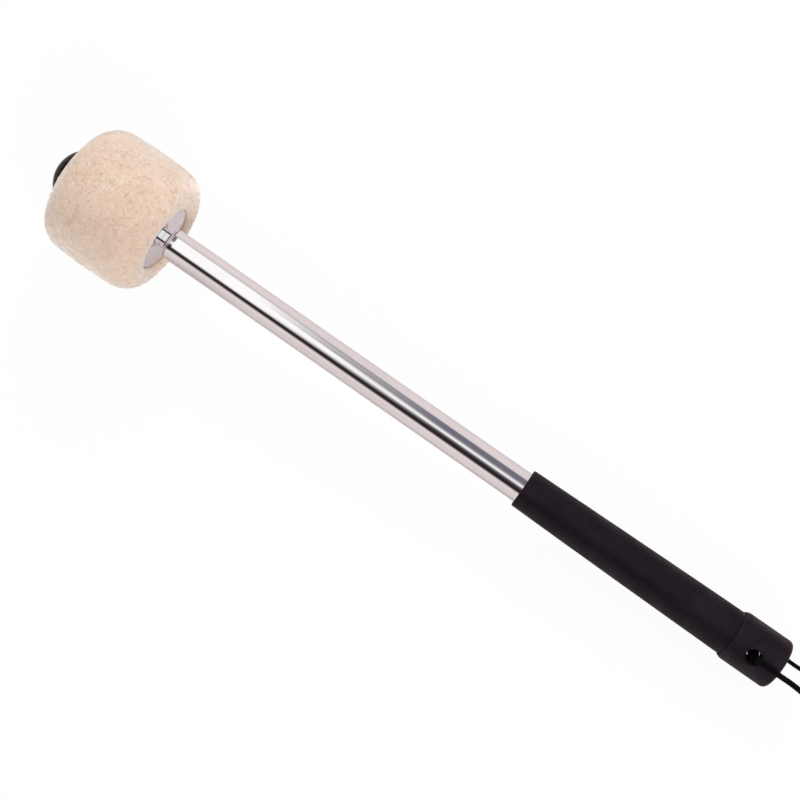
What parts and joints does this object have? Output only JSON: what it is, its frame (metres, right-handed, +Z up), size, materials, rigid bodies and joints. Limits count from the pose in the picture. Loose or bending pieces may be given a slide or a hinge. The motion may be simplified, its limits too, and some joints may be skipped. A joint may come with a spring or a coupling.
{
  "type": "drum beater",
  "caption": "Bass drum beater with a felt drum head clamped between washers by a domed knob, a chromed tube handle, rubber grip, end cap and wrist lace.",
  "frame": {"origin": "on the ground plane under the middle of the beater's length, lace left out", "axes": "+Z up, +X along the ground towards the handle's butt end, +Y to the left of someone looking from the head to the butt; the beater's own axis slopes down 3.2 degrees towards +X"},
  "size_m": [0.4341, 0.0554, 0.0558],
  "materials": {
    "chromed_tube": "mirror polished",
    "stud_steel": "bright turned steel",
    "washer_steel": "satin zinc",
    "wool_felt": "hard pressed wool felt",
    "insert_brass": "turned and knurled",
    "knob_plastic": "semi-gloss moulded black",
    "grip_rubber": "matte black",
    "cap_rubber": "matte black",
    "lace_cotton": "black flat braid"
  },
  "bodies": {
    "handle": {"handle_tube": "chromed_tube", "tube_plug": "chromed_tube", "head_stud": "stud_steel", "rear_washer": "washer_steel", "front_washer": "washer_steel", "lock_washer": "stud_steel", "felt_head": "wool_felt", "grip_sleeve": "grip_rubber", "end_cap": "cap_rubber", "lace_crossing": "lace_cotton", "wrist_lace": "lace_cotton", "lace_knot": "lace_cotton"},
    "insert": {"knob_insert": "insert_brass"},
    "knob": {"dome_knob": "knob_plastic"}
  },
  "joints": [
    {"name": "knob_lift", "type": "slide", "parent": "handle", "child": "insert", "axis": [-0.9984, 0, 0.0563], "range_m": [0, 0.005]},
    {"name": "knob_turn", "type": "hinge", "parent": "insert", "child": "knob", "pos_m": [-0.16118, 0, 0.02902], "axis": [-0.9984, 0, 0.0563], "range_deg": [0, 1800]}
  ],
  "couplings": [
    {"joint": "knob_lift", "follows": "knob_turn", "m_per_rad": 0.00015915}
  ]
}
